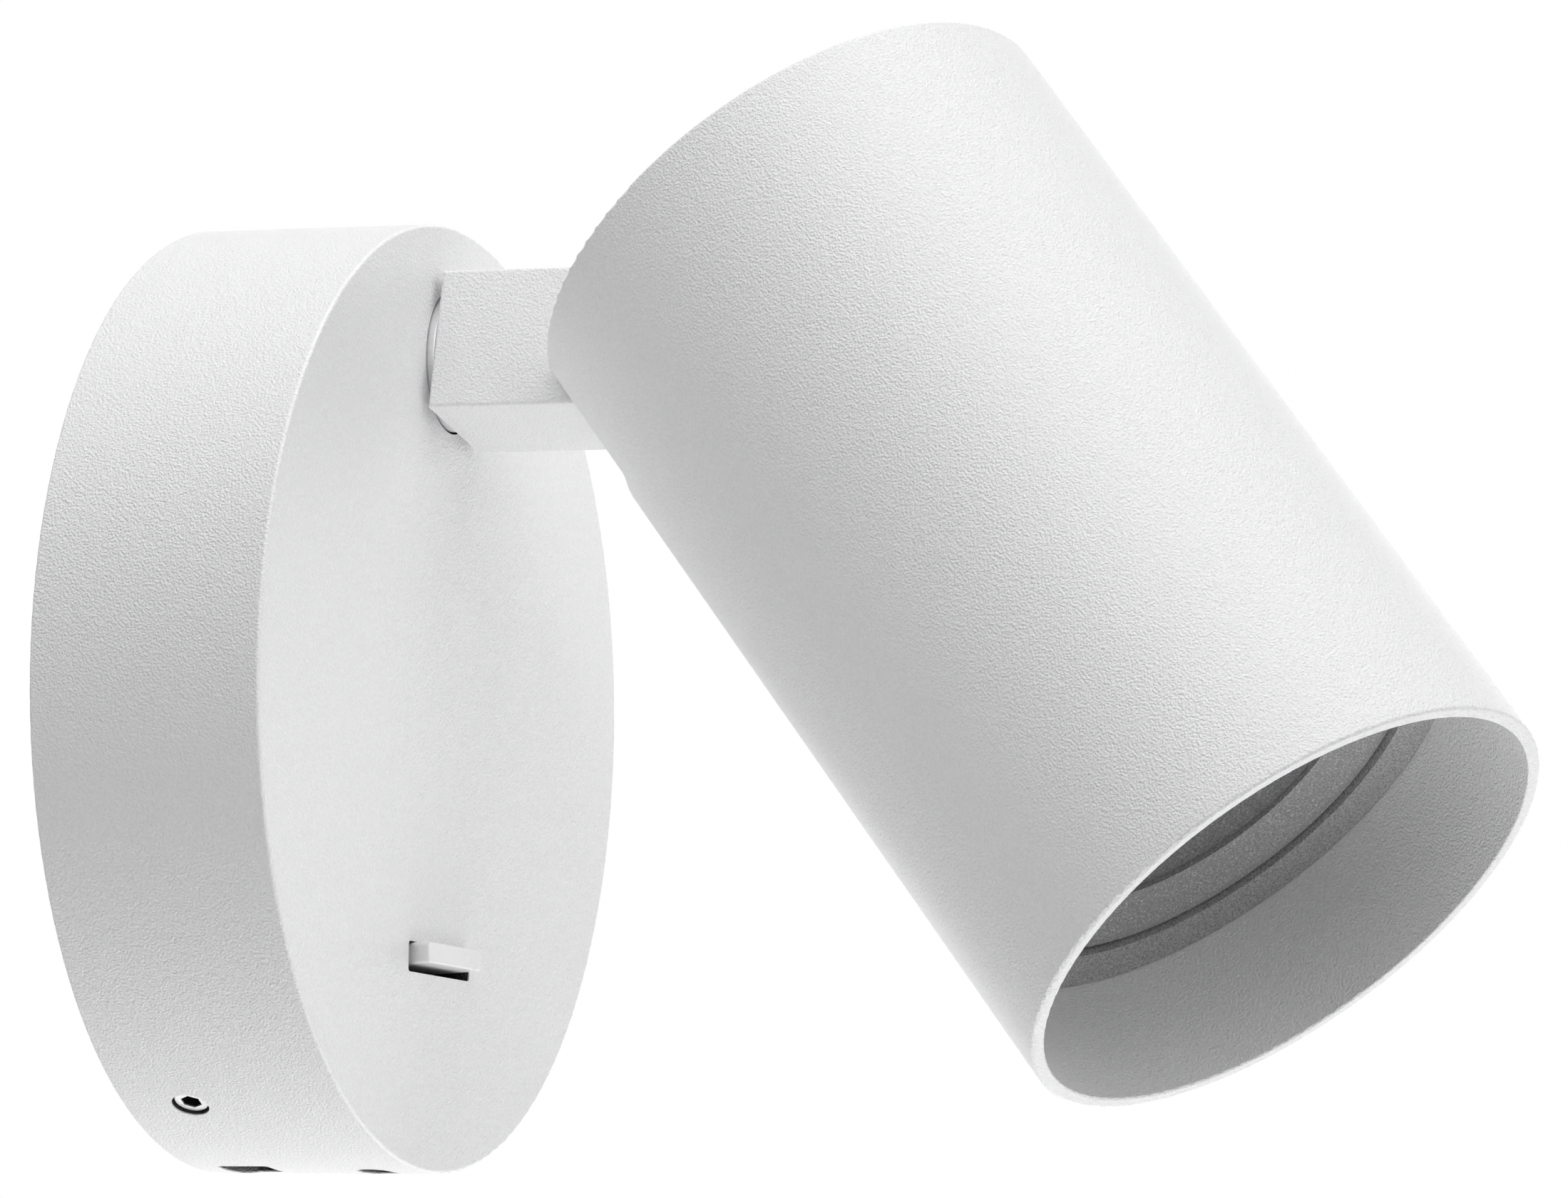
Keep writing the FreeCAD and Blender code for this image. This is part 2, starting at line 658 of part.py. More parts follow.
def usb_module():
    """Moulded case of the charging electronics, with a pocket round each socket."""
    half = module_w / 2
    case = plate([(-half, -module_low, module_edge_r), (half, -module_low, module_edge_r),
                  (half, -module_high, module_edge_r), (-half, -module_high, module_edge_r)],
                 module_back, module_front)
    reach = module_ear_x + boss_r
    ears = slab(-reach, reach, -module_ear_down - boss_r, -module_high,
                module_ear_seat - ear_t, module_ear_seat)
    cuts = [rod(screw_r + fit_gap, 0, module_ear_seat, x, y) for x, y in module_screws]
    for width, height, radius, length, mouth, out in (usb_a_shape, usb_c_shape):
        pocket = plate(rounded_box(width + 2 * fit_gap, height + 2 * fit_gap, radius + fit_gap), 0, length)
        cuts.append(downwards(pocket, mouth, out))
    return case.fuse(ears).cut(cuts).removeSplitter()


def power_supply():
    case = slab(-supply_w / 2, supply_w / 2, -supply_h / 2, supply_h / 2, sheet, sheet + supply_t)
    top = sheet + supply_t
    case = case.makeFillet(supply_edge_r, [e for e in case.Edges if e.BoundBox.ZMin > sheet + 1e-6
                                           or e.BoundBox.ZLength > supply_t - 1e-6])
    reach = supply_ear_x + supply_ear_half
    ears = plate(rounded_box(2 * reach, 2 * supply_ear_half, supply_edge_r), sheet, sheet + ear_t)
    holes = [rod(screw_r + fit_gap, sheet, top, side * supply_ear_x) for side in (-1, 1)]
    case = case.fuse(ears).cut(holes).removeSplitter()
    case.translate(Vector(0, -supply_down, 0))
    return case


def supply_screws():
    solids = []
    for side in (-1, 1):
        seat = sheet + ear_t
        screw = pan_screw(0, 0, 0, seat)
        screw.rotate(Vector(0, 0, 0), Vector(1, 0, 0), 180)
        screw.translate(Vector(side * supply_ear_x, -supply_down, seat))
        solids.append(screw)
    return solids


terminal_middle = (terminal_poles - 1) / 2
terminal_places = [(terminal_pitch * (i - terminal_middle), terminal_up) for i in range(terminal_poles)]


def terminal_block():
    top = sheet + terminal_t
    body = slab(-terminal_w / 2, terminal_w / 2, terminal_up - terminal_h / 2, terminal_up + terminal_h / 2,
                sheet, top)
    body = body.makeChamfer(terminal_edge, [e for e in body.Edges if e.BoundBox.ZMin > top - 1e-6])
    cuts = []
    for x, y in terminal_places:
        cuts.append(rod(terminal_screw_r + fit_gap, top - terminal_screw_deep, top, x, y))
        cuts.append(Part.makeCylinder(terminal_wire_r, terminal_h,
                                      Vector(x, y - terminal_h / 2, sheet + terminal_wire_up), Vector(0, 1, 0)))
    return body.cut(cuts)


def terminal_screws():
    top = sheet + terminal_t
    solids = []
    for x, y in terminal_places:
        head = top - terminal_screw_sink
        screw = rod(terminal_screw_r, top - terminal_screw_deep, head, x, y)
        slot = slab(-terminal_screw_r, terminal_screw_r, -terminal_slot_w / 2, terminal_slot_w / 2,
                    head - terminal_slot_deep, head)
        slot.translate(Vector(x, y, 0))
        solids.append(screw.cut(slot))
    return solids


def earth_screw():
    """Earth screw on its washer, screwed in the bracket."""
    seat = sheet + earth_washer_t
    top = seat + earth_head_h
    return turned([(0, fit_gap), (earth_r, fit_gap), (earth_r, sheet), (earth_washer_r, sheet),
                   (earth_washer_r, seat), (earth_head_r, seat), (earth_head_r, top, screw_crown_r),
                   (0, top)], earth_x, earth_up)


def cable_grommet():
    """Rubber bush that lines the cable's hole in the bracket."""
    return turned([(grommet_bore_r, 0), (cable_hole_r - thread_gap, 0), (cable_hole_r - thread_gap, sheet),
                   (grommet_flange_r, sheet), (grommet_flange_r, grommet_t, grommet_edge_r),
                   (grommet_bore_r, grommet_t)], 0, cable_up)


# ---------------------------------------------------------------- arm
def arm_block():
    """Square bar from the swivel to a round knuckle, forked for the wires."""
    bar = slab(-arm_half, arm_half, -arm_half, arm_half, arm_foot, pivot_out)
    bar = bar.fuse(cross_rod(arm_half, -arm_half, arm_half, 0, pivot_out)).removeSplitter()
    long_edges = [e for e in bar.Edges if abs(abs(e.CenterOfMass.x) - arm_half) < 1e-6]
    bar = bar.makeFillet(arm_edge_r, long_edges)
    socket = rod(spigot_r + thread_gap, arm_foot, arm_foot + arm_socket_deep)
    fork_start = pivot_out - arm_fork_back
    wires = rod(wire_bore_r, arm_foot, fork_start + 1)
    fork = slab(-arm_fork_w / 2, arm_fork_w / 2, -arm_half, arm_fork_top, fork_start, pivot_out + arm_half)
    bolt_bore = cross_rod(pivot_bolt_r + run_gap, -arm_half, arm_half, 0, pivot_out)
    return bar.cut([socket, wires, fork, bolt_bore])


def swivel_stem():
    """Disc that fills the hole in the face, on a hollow spigot screwed into the arm."""
    seat = plate_front + slide_gap
    tail = nut_back - spigot_past_nut
    top = arm_foot + arm_socket_deep - fit_gap
    return turned([(wire_bore_r, top), (spigot_r, top), (spigot_r, arm_foot), (swivel_disc_r, arm_foot, 0.25),
                   (swivel_disc_r, seat), (spigot_r, seat), (spigot_r, tail, 0.5), (wire_bore_r, tail)])


def flat_washer(outer, inner, z0, z1):
    return turned([(inner, z0), (outer, z0), (outer, z1), (inner, z1)])


def swivel_friction_washer():
    return flat_washer(stop_washer_r - fit_gap, spigot_r + run_gap, friction_front - washer_t, friction_front)


def swivel_stop_washer():
    """Washer with a tab that meets the peg at both ends of the swivel."""
    tab = slab(-stop_tab_w / 2, stop_tab_w / 2, stop_washer_r - 1, stop_peg_out + stop_tab_past,
               nut_front, stop_front)
    return flat_washer(stop_washer_r, spigot_r + run_gap, nut_front, stop_front).fuse(tab).removeSplitter()


def swivel_nut():
    nut = hexagon(swivel_nut_af, nut_back, nut_front)
    return nut.cut(rod(spigot_r + thread_gap, nut_back, nut_front))


# ---------------------------------------------------------------- head
def slot_cutter(back, front, x_from, radius):
    """Cutter as wide as the tube's slot, open to the rear and to the wall side."""
    half = tube_slot_w / 2
    shape = Part.Face(outline([(-half, back), (half, back), (half, front, radius), (-half, front, radius)]))
    shape = shape.extrude(Vector(0, 0, 2 * tube_r))
    # outline's first axis becomes y, its second z, and it is drawn out along x
    shape.transformShape(FreeCAD.Matrix(0, 0, 1, x_from, 1, 0, 0, 0, 0, 1, 0, 0, 0, 0, 0, 1), True)
    return shape


def lamp_tube():
    tube = turned([(tube_in_r, tube_back), (tube_r, tube_back, tube_back_r), (tube_r, tube_mouth, tube_lip_r),
                   (tube_in_r, tube_mouth, tube_mouth_r)], tube_axis)
    return tube.cut(slot_cutter(tube_back - 1, slot_end, 0, tube_slot_r))


post_places = [(tube_axis + cap_post_out * math.cos(math.radians(a)), cap_post_out * math.sin(math.radians(a)))
               for a in (cap_post_angle, 180, -cap_post_angle)]


def rear_cap():
    """Cap with a skirt in the tube, a notch that carries on the slot, and three posts."""
    skirt_end = cap_back + cap_skirt_len
    cup = turned([(0, cap_back), (cap_rim_r, cap_back, cap_edge_r), (cap_rim_r, skirt_end),
                  (cap_inner_r, skirt_end), (cap_inner_r, cap_front, bend_r), (0, cap_front)], tube_axis)
    posts = [rod(cap_post_r, cap_back + cap_t / 2, hinge_plate_up, x, y) for x, y in post_places]
    tips = cap_front + cap_screw_up - tip_gap
    holes = [rod(screw_r + thread_gap, tips, hinge_plate_up, x, y) for x, y in post_places]
    notch = slot_cutter(cap_back - 1, cap_back + cap_skirt_len + 1, -slot_end, 0)
    return cup.fuse(posts).cut(holes + [notch]).removeSplitter()


def hinge_bracket():
    """Folded steel: a round plate on the posts, with two ears beside the arm's knuckle."""
    disc = rod(hinge_plate_r, hinge_plate_up, hinge_front, tube_axis)
    window_half = ear_out + bend_r + fold_land
    window = slab(-ear_half - relief, ear_half + relief, -window_half, window_half, hinge_plate_up, hinge_front)
    holes = [rod(screw_r + fit_gap, hinge_plate_up, hinge_front, x, y) for x, y in post_places]
    holes += [rod(screw_r + thread_gap, hinge_plate_up, hinge_front, tube_axis, side * holder_screw_out)
              for side in (-1, 1)]
    disc = disc.cut([window] + holes)
    side_view = plate([(-hinge_front - 1, -ear_half), (ear_half - 0.01, -ear_half, ear_half - 0.01),
                       (ear_half - 0.01, ear_half, ear_half - 0.01), (-hinge_front - 1, ear_half)],
                      -window_half, window_half)
    # side view's first axis points back along the tube, its second across it
    side_view.transformShape(FreeCAD.Matrix(0, 1, 0, 0, 0, 0, 1, 0, -1, 0, 0, 0, 0, 0, 0, 1), True)
    bolt_hole = Part.makeCylinder(pivot_bolt_r + thread_gap, 4 * ear_out, Vector(0, -2 * ear_out, 0),
                                  Vector(0, 1, 0))
    ears = []
    for turn in (0, 180):
        # folded like the tabs of the wall bracket: out from the window's edge, then back beside the arm
        section = [(window_half, hinge_front), (ear_in, hinge_front, sheet + bend_r), (ear_in, -ear_half),
                   (ear_out, -ear_half), (ear_out, hinge_plate_up, bend_r), (window_half, hinge_plate_up)]
        ear = Part.Face(outline(section)).extrude(Vector(0, 0, 2 * ear_half))
        ear.transformShape(FreeCAD.Matrix(0, 0, 1, -ear_half, 1, 0, 0, 0, 0, 1, 0, 0, 0, 0, 0, 1), True)
        ear.rotate(Vector(0, 0, 0), Vector(0, 0, 1), turn)
        ears.append(ear.common(side_view))
    return disc.fuse(ears).cut(bolt_hole).removeSplitter()


def screws_to_mouth_side(places, seat, length):
    """Pan screws with their heads towards the mouth and their tips towards the rear."""
    solids = []
    for x, y in places:
        screw = pan_screw(0, 0, 0, length)
        screw.rotate(Vector(0, 0, 0), Vector(1, 0, 0), 180)
        screw.translate(Vector(x, y, seat))
        solids.append(screw)
    return solids


def along_pivot(solid, start):
    """Lay a piece drawn on z along the pivot, from start towards +y."""
    solid.rotate(Vector(0, 0, 0), Vector(1, 0, 0), -90)
    solid.translate(Vector(0, start, 0))
    return solid


def pivot_friction_washers():
    gap = slide_gap / 2
    washers = []
    for start in (arm_half + gap, -arm_half - gap - pivot_washer_t):
        ring = flat_washer(pivot_washer_r, pivot_bolt_r + thread_gap, 0, pivot_washer_t)
        washers.append(along_pivot(ring, start))
    return washers


def pivot_bolt():
    """Button-head bolt through both ears and the knuckle."""
    tail = ear_out + pivot_nut_t + pivot_tail
    bolt = turned([(0, -tail), (pivot_bolt_r, -tail, 0.4), (pivot_bolt_r, ear_out), (pivot_head_r, ear_out),
                   (pivot_head_r, ear_out + pivot_head_h, 1.6), (0, ear_out + pivot_head_h)])
    hole = hexagon(pivot_hex, ear_out + pivot_head_h - pivot_hex_deep, ear_out + pivot_head_h + 1)
    return along_pivot(bolt.cut(hole), 0)


def pivot_nut():
    nut = hexagon(pivot_nut_af, 0, pivot_nut_t).cut(rod(pivot_bolt_r + thread_gap, 0, pivot_nut_t))
    return along_pivot(nut, -ear_out - pivot_nut_t)


def lamp_holder():
    """Ceramic holder on a flange, with two keyed holes for the lamp's pins."""
    body = turned([(0, hinge_front), (holder_r, hinge_front), (holder_r, holder_front, holder_edge_r),
                   (0, holder_front)], tube_axis)
    reach = holder_screw_out + holder_ear_r
    flange = plate(rounded_box(holder_flange_w, 2 * reach, boss_r), hinge_front, hinge_front + holder_flange_t)
    flange.translate(Vector(tube_axis, 0, 0))
    low = holder_front - pin_len - pin_hole_past
    cuts = []
    for side in (-1, 1):
        y = side * holder_screw_out
        cuts.append(rod(screw_head_r + 0.3, hinge_front + holder_flange_t, holder_front, tube_axis, y))
        cuts.append(rod(screw_r + fit_gap, hinge_front, hinge_front + holder_flange_t, tube_axis, y))
        cuts.append(rod(pin_hole_r, low, holder_front, tube_axis, side * pin_pitch / 2))
    return body.fuse(flange).cut(cuts).removeSplitter()


def lamp_body():
    """Reflector lamp: narrow base, flared shell, rim and a cone down to its lens."""
    neck = holder_r - lamp_base_in
    return turned([(0, holder_front), (neck, holder_front, lamp_base_flare),
                   (neck + lamp_base_flare, holder_front + lamp_base_h, lamp_base_r),
                   (lamp_r - lamp_brow_in, lamp_rim - lamp_brow_h, lamp_brow_r), (lamp_r, lamp_rim, 0.5),
                   (lamp_r - lamp_rim_w, lamp_rim, 0.4), (lamp_cone_r, lens_seat + lens_t),
                   (lamp_cone_r, lens_seat), (0, lens_seat)], tube_axis)


def lamp_lens():
    """Slightly crowned lens in the lamp's seat."""
    r = lamp_cone_r - fit_gap / 2
    edge = lens_seat + lens_t - lens_crown
    disc = rod(r, lens_seat, edge + lens_crown)
    ball_r = (r ** 2 + lens_crown ** 2) / (2 * lens_crown)
    ball = Part.makeSphere(ball_r, Vector(0, 0, edge + lens_crown - ball_r))
    lens = disc.common(ball)
    lens.translate(Vector(tube_axis, 0, 0))
    return lens


def lamp_pins():
    """Two pins with mushroom heads, turned home in the holder."""
    tip = holder_front - pin_len
    return [turned([(0, tip), (pin_head_r, tip, 0.3), (pin_head_r, tip + pin_head_t, 0.3),
                    (pin_r, tip + pin_head_t), (pin_r, holder_front), (0, holder_front)],
                   tube_axis, side * pin_pitch / 2) for side in (-1, 1)]


def trim_ring():
    """Ring that slides in the tube and hides the gap round the lamp."""
    skirt_end = ring_top - ring_skirt
    return turned([(cap_rim_r, skirt_end), (cap_rim_r, ring_top), (ring_inner_r, ring_top - ring_slope),
                   (ring_inner_r, ring_top - ring_slope - ring_t), (cap_rim_r - ring_t, ring_top - ring_t),
                   (cap_rim_r - ring_t, skirt_end)], tube_axis)


# ---------------------------------------------------------------- write every piece
save("wall_bracket", wall_bracket())
save("base_cover", base_cover())
save("cover_grub_screws", grub_screws())
save("swivel_plate", swivel_plate())
save("swivel_plate_screws", [pan_screw(x, y, plate_back, screw_tip()) for x, y in swivel_screws])
save("swivel_stop_peg", swivel_stop_peg())
save("switch_housing", switch_housing())
save("switch_screws", [pan_screw(x, y, switch_ear_seat - ear_t, screw_tip()) for x, y in switch_screws])
save("usb_module", usb_module())
save("usb_module_screws", [pan_screw(x, y, module_ear_seat - ear_t, screw_tip()) for x, y in module_screws])
save("usb_a_shell", socket_shell(*usb_a_shape))
save("usb_a_tongue", socket_tongue(*usb_a_tongue_shape))
save("usb_c_shell", socket_shell(*usb_c_shape))
save("usb_c_tongue", socket_tongue(*usb_c_tongue_shape))
save("power_supply", power_supply())
save("power_supply_screws", supply_screws())
save("terminal_block", terminal_block())
save("terminal_screws", terminal_screws())
save("earth_screw", earth_screw())
save("cable_grommet", cable_grommet())

save("switch_rocker", switch_rocker(), rocker_frame)

save("arm_block", arm_block(), arm_frame)
save("swivel_stem", swivel_stem(), arm_frame)
save("swivel_friction_washer", swivel_friction_washer(), arm_frame)
save("swivel_stop_washer", swivel_stop_washer(), arm_frame)
save("swivel_nut", swivel_nut(), arm_frame)

save("lamp_tube", lamp_tube(), head_frame)
save("rear_cap", rear_cap(), head_frame)
save("hinge_bracket", hinge_bracket(), head_frame)
post_screw_len = hinge_front - cap_front - cap_screw_up
save("hinge_bracket_screws", screws_to_mouth_side(post_places, hinge_front, post_screw_len), head_frame)
save("pivot_friction_washers", pivot_friction_washers(), head_frame)
save("pivot_bolt", pivot_bolt(), head_frame)
save("pivot_nut", pivot_nut(), head_frame)
save("lamp_holder", lamp_holder(), head_frame)
save("lamp_holder_screws", screws_to_mouth_side([(tube_axis, -holder_screw_out), (tube_axis, holder_screw_out)],
                                                hinge_front + holder_flange_t, holder_screw_len), head_frame)
save("lamp_body", lamp_body(), head_frame)
save("lamp_lens", lamp_lens(), head_frame)
save("lamp_pins", lamp_pins(), head_frame)
save("trim_ring", trim_ring(), head_frame)
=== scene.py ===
"""Pivoting spotlight wall light, dressed piece by piece: the base on the wall, the arm, then the head."""
import json
import math
import bpy
from mathutils import Matrix, Vector


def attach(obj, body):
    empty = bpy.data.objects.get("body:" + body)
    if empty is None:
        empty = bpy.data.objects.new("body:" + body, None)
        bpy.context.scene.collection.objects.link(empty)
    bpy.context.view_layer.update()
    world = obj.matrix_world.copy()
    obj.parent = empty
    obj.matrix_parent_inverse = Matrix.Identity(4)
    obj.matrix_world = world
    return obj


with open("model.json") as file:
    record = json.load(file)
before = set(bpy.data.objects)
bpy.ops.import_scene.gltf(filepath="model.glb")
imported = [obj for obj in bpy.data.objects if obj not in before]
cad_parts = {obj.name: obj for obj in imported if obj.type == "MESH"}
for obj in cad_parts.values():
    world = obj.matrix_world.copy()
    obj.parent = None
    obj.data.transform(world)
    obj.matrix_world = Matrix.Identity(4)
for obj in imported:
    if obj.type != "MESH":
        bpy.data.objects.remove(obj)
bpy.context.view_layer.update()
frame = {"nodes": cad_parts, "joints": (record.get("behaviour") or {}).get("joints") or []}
scene = bpy.context.scene
mm = 0.001

# ------------------------------------------------------------------ camera
# The picture was taken from the light's left and from a little below it, about a metre away,
# with a long lens and the camera leaning about a degree.
camera_place = Vector((-0.91454, -0.39684, -0.09066))
camera_heading = math.radians(69.95)      # from straight at the wall, towards the right
camera_rise = math.radians(5.90)
camera_lean = math.radians(1.13)
camera_data = bpy.data.cameras.new("camera")
camera_data.sensor_width = 36.0
camera_data.lens = 215.73
camera_data.clip_start = 0.01
camera = bpy.data.objects.new("camera", camera_data)
heading_turn = Matrix.Rotation(-camera_heading, 4, "Z")
rise_turn = Matrix.Rotation(math.radians(90) + camera_rise, 4, "X")
lean_turn = Matrix.Rotation(camera_lean, 4, "Z")
camera.matrix_world = Matrix.Translation(camera_place) @ heading_turn @ rise_turn @ lean_turn
scene.collection.objects.link(camera)
scene.camera = camera

# ------------------------------------------------------------------ studio
# A plain white studio: large soft lights on all sides, the strongest over the light and under it,
# where a white table throws light back up.
scene.view_settings.view_transform = "Standard"
lit_middle = Vector((0.0, -0.06, 0.01))
softbox_side = 0.9
softbox_away = 1.3
sides = {"left": (-1, 0, 0), "right": (1, 0, 0), "room": (0, -1, 0), "wall": (0, 1, 0), "above": (0, 0, 1),
         "below": (0, 0, -1)}
# where each softbox stands, and what a white face turned to it gets of full white
softboxes = {
    "left": 0.045, "left room above": 0.300, "left room below": 0.050, "left above": 0.220,
    "left wall above": 0.203, "room": 0.075, "room above": 0.255, "room below": 0.115, "above": 0.380,
    "below": 0.406, "wall below": 0.125, "right": 0.180, "right room": 0.118, "right room below": 0.190,
    "right below": 0.150, "right wall": 0.160,
}
for name, share in softboxes.items():
    softbox_data = bpy.data.lights.new("softbox " + name, "AREA")
    softbox_data.shape = "SQUARE"
    softbox_data.size = softbox_side
    softbox_data.energy = share * (math.pi * softbox_away) ** 2
    softbox = bpy.data.objects.new("softbox " + name, softbox_data)
    towards = sum((Vector(sides[word]) for word in name.split()), Vector()).normalized()
    softbox.location = lit_middle + towards * softbox_away
    softbox.rotation_euler = towards.to_track_quat("Z", "Y").to_euler()
    softbox.visible_camera = False
    scene.collection.objects.link(softbox)


def put(tree, kind, inputs=None, **settings):
    """Add a node to a tree. Each input is named and gets a value, or the output that feeds it."""
    made = tree.nodes.new(kind)
    for setting, value in settings.items():
        setattr(made, setting, value)
    for key, value in (inputs or {}).items():
        if isinstance(value, bpy.types.NodeSocket):
            tree.links.new(value, made.inputs[key])
        else:
            made.inputs[key].default_value = value
    return made


def math_of(tree, operation, *values):
    """Output of a maths node."""
    return put(tree, "ShaderNodeMath", dict(enumerate(values)), operation=operation).outputs[0]


def seen_or_mirrored(tree):
    """One for what the camera sees, directly, in metal or through glass, and none for what lights a face."""
    rays = put(tree, "ShaderNodeLightPath").outputs
    seen = math_of(tree, "MAXIMUM", rays["Is Camera Ray"], rays["Is Glossy Ray"])
    return math_of(tree, "MAXIMUM", seen, rays["Is Transmission Ray"])


def new_material(name):
    """Material, with its tree and its shader's inputs."""
    material = bpy.data.materials.new(name)
    material.use_nodes = True
    return material, material.node_tree, material.node_tree.nodes["Principled BSDF"].inputs


# the white surroundings are seen, and mirrored, but only the softboxes light the object
world = bpy.data.worlds.new("studio")
world.use_nodes = True
tree = world.node_tree
tree.nodes.clear()
sky_white = (1.0, 1.0, 1.0, 1.0)
sky = put(tree, "ShaderNodeBackground", {"Color": sky_white, "Strength": seen_or_mirrored(tree)})
put(tree, "ShaderNodeOutputWorld", {"Surface": sky.outputs[0]})
scene.world = world

floor_drop = 1.6
floor_reach = 12.0
floor_white = (0.86, 0.86, 0.86, 1.0)
floor_glow = (0.92, 0.92, 0.92, 1.0)      # what is seen of the floor besides the light on it
corners = [(x * floor_reach, y * floor_reach, -floor_drop) for x, y in ((-1, -1), (1, -1), (1, 1), (-1, 1))]
floor_mesh = bpy.data.meshes.new("floor")
floor_mesh.from_pydata(corners, [], [(0, 1, 2, 3)])
floor = bpy.data.objects.new("floor", floor_mesh)
floor_paint, tree, shader = new_material("floor_paint")
shader["Base Color"].default_value = floor_white
shader["Roughness"].default_value = 0.7
shader["Emission Color"].default_value = floor_glow
tree.links.new(seen_or_mirrored(tree), shader["Emission Strength"])
floor_mesh.materials.append(floor_paint)
scene.collection.objects.link(floor)

# ------------------------------------------------------------------ base cover
# A shallow round cup of cast aluminium, 100 mm across, which hides everything on the wall. It is
# powder-coated white: a satin skin with the fine, crisp wrinkles of orange peel.


def new_group(name, inputs, outputs):
    """Empty shader node group; inputs are names with their values, and outputs are names."""
    tree = bpy.data.node_groups.new(name, "ShaderNodeTree")
    for label, value in inputs.items():
        made = tree.interface.new_socket(name=label, in_out="INPUT", socket_type="NodeSocketFloat")
        made.default_value = value
    for label in outputs:
        tree.interface.new_socket(name=label, in_out="OUTPUT", socket_type="NodeSocketFloat")
    return tree, tree.nodes.new("NodeGroupInput").outputs, tree.nodes.new("NodeGroupOutput").inputs


def vector_of(tree, operation, *values):
    """Output of a vector maths node: a number for a length or a dot product, and else a vector."""
    made = put(tree, "ShaderNodeVectorMath", dict(enumerate(values)), operation=operation)
    return made.outputs["Value" if operation in ("LENGTH", "DOT_PRODUCT") else "Vector"]


def joined(tree, x=0.0, y=0.0, z=0.0):
    """Vector made of its three parts."""
    return put(tree, "ShaderNodeCombineXYZ", {"X": x, "Y": y, "Z": z}).outputs[0]


def place_of(tree):
    """The point of the object that is shaded, in metres."""
    return put(tree, "ShaderNodeTexCoord").outputs["Object"]


def place_in_mm(tree):
    """The three parts of the point that is shaded, in millimetres."""
    place = vector_of(tree, "MULTIPLY", place_of(tree), (1000.0, 1000.0, 1000.0))
    return put(tree, "ShaderNodeSeparateXYZ", {0: place}).outputs


def noise_of(tree, place, per_unit, detail=2.0, roughness=0.5):
    """Output of a noise texture with about so many bumps for each unit of the place."""
    return put(tree, "ShaderNodeTexNoise", {"Vector": place, "Scale": per_unit, "Detail": detail,
                                            "Roughness": roughness}).outputs["Fac"]


def per_metre(tree, size_mm):
    """How many bumps of that size go into a metre."""
    return math_of(tree, "DIVIDE", 1000.0, size_mm)


def toned(tree, pattern, change, middle=1.0):
    """A brightness that a pattern lifts and lowers round its middle."""
    return math_of(tree, "MULTIPLY_ADD", math_of(tree, "SUBTRACT", pattern, 0.5), change, middle)


# the skin of a powder coat: crisp wrinkles on slower swells, and slow changes of tone
peel, given, result = new_group("orange_peel", {"Wrinkle size mm": 0.3, "Swell share": 0.25},
                                ("Height", "Brightness", "Roughness"))
swells_for_a_wrinkle = 0.37
clouds_per_metre = 40.0
wrinkle_tone, cloud_tone = 0.14, 0.02
least_roughness, cloud_roughness = 0.40, 0.10
place = place_of(peel)
wrinkles_per_metre = per_metre(peel, given["Wrinkle size mm"])
swells_per_metre = math_of(peel, "MULTIPLY", wrinkles_per_metre, swells_for_a_wrinkle)
wrinkles = noise_of(peel, place, wrinkles_per_metre, detail=1.0, roughness=0.45)
swells = noise_of(peel, place, swells_per_metre, detail=1.0, roughness=0.5)
clouds = noise_of(peel, place, clouds_per_metre, detail=3.0)
brightness = toned(peel, clouds, cloud_tone, toned(peel, wrinkles, wrinkle_tone))
roughness = math_of(peel, "MULTIPLY_ADD", clouds, cloud_roughness, least_roughness)
peel.links.new(math_of(peel, "MULTIPLY_ADD", swells, given["Swell share"], wrinkles), result["Height"])
peel.links.new(brightness, result["Brightness"])
peel.links.new(roughness, result["Roughness"])


def use_group(tree, group, **values):
    """Place a group in a material's tree; underscores in the names of values stand for spaces."""
    made = put(tree, "ShaderNodeGroup", node_tree=group)
    for label, value in values.items():
        made.inputs[label.replace("_", " ")].default_value = value
    return made.outputs


def mixed(tree, share, first, second, blend="MIX"):
    """Colour mixed from two, with that share of the second."""
    return put(tree, "ShaderNodeMix", {0: share, 6: first, 7: second}, data_type="RGBA",
               blend_type=blend).outputs[2]


def new_finish(name, group, colour, depth_mm, metallic=0.0, **values):
    """Material whose brightness, roughness and relief come from a group, with values for its inputs."""
    material, tree, shader = new_material(name)
    skin = use_group(tree, group, **values)
    bump = put(tree, "ShaderNodeBump", {"Height": skin["Height"], "Strength": 1.0, "Distance": depth_mm * mm})
    shader["Metallic"].default_value = metallic
    tree.links.new(mixed(tree, 1.0, (*colour, 1.0), skin["Brightness"], "MULTIPLY"), shader["Base Color"])
    tree.links.new(skin["Roughness"], shader["Roughness"])
    tree.links.new(bump.outputs["Normal"], shader["Normal"])
    return material


def open_finish(material):
    """A finish's tree, its colour's input and what feeds that, for a further layer."""
    colour_input = material.node_tree.nodes["Principled BSDF"].inputs["Base Color"]
    return material.node_tree, colour_input, colour_input.links[0].from_socket


def powder_coat(name, colour=(0.88, 0.88, 0.885), wrinkle_size=0.26, wrinkle_depth=0.17):
    """White powder coat, with its wrinkles in millimetres."""
    return new_finish(name, peel, colour, wrinkle_depth, Wrinkle_size_mm=wrinkle_size)


def dress(node, *materials):
    """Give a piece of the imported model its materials."""
    slots = frame["nodes"][node].data.materials
    slots.clear()
    for material in materials:
        slots.append(material)


